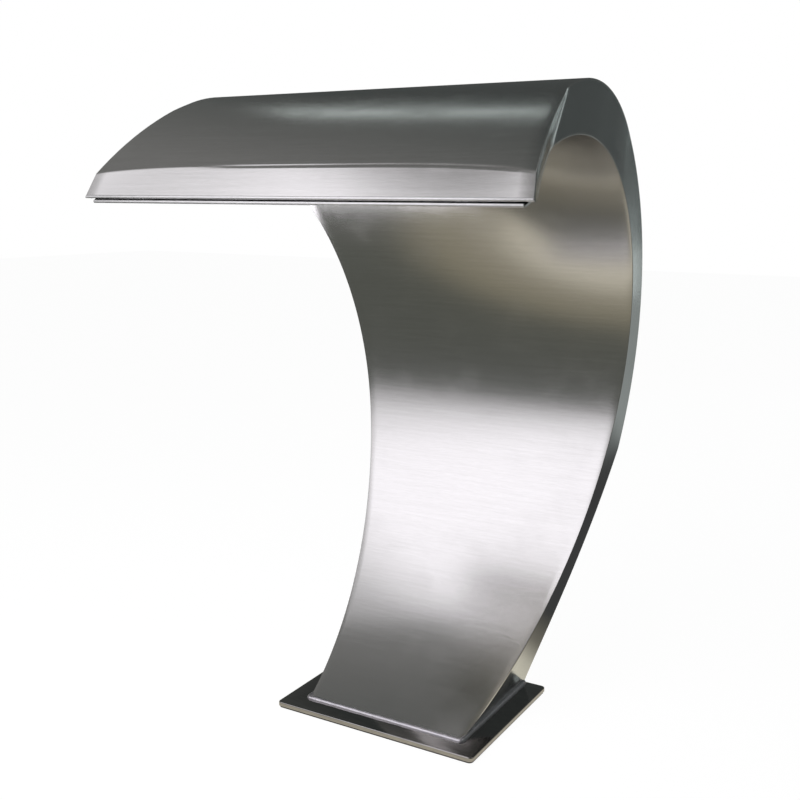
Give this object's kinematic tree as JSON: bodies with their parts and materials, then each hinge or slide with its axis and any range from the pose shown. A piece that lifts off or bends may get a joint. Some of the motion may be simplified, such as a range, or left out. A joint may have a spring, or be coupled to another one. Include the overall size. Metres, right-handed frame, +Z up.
{
  "type": "pool waterfall",
  "caption": "Free-standing sheet-steel pool waterfall: a hollow C-shaped duct on a deck plate that pours a wide sheet of water from a slot lip.",
  "frame": {"origin": "centre of the deck plate's underside, on the deck plane", "axes": "+X along the lip, to the right seen from the front; +Y to the back, so the lip is towards -Y; +Z up"},
  "size_m": [0.5, 0.4761, 0.7131],
  "materials": {
    "brushed_sheet": "brushed along the lip, satin gloss",
    "brushed_cheek": "brushed, darker, edges polished",
    "polished_plate": "mirror polished with a rounded edge",
    "ground_weld": "ground and polished weld bead",
    "inner_steel": "plain mill finish",
    "gasket_rubber": "matt black sheet rubber"
  },
  "bodies": {
    "root": {"front_sheet": "brushed_sheet", "rear_sheet": "brushed_sheet", "left_cheek": "brushed_cheek", "right_cheek": "brushed_cheek", "left_vane": "inner_steel", "right_vane": "inner_steel", "slot_spacers": "inner_steel", "diffuser_plate": "inner_steel", "inlet_deflector": "inner_steel", "base_plate": "polished_plate", "foot_weld": "ground_weld", "inlet_socket": "inner_steel", "front_left_boss": "inner_steel", "front_right_boss": "inner_steel", "rear_left_boss": "inner_steel", "rear_right_boss": "inner_steel", "earth_boss": "inner_steel", "deck_gasket": "gasket_rubber"}
  },
  "joints": []
}
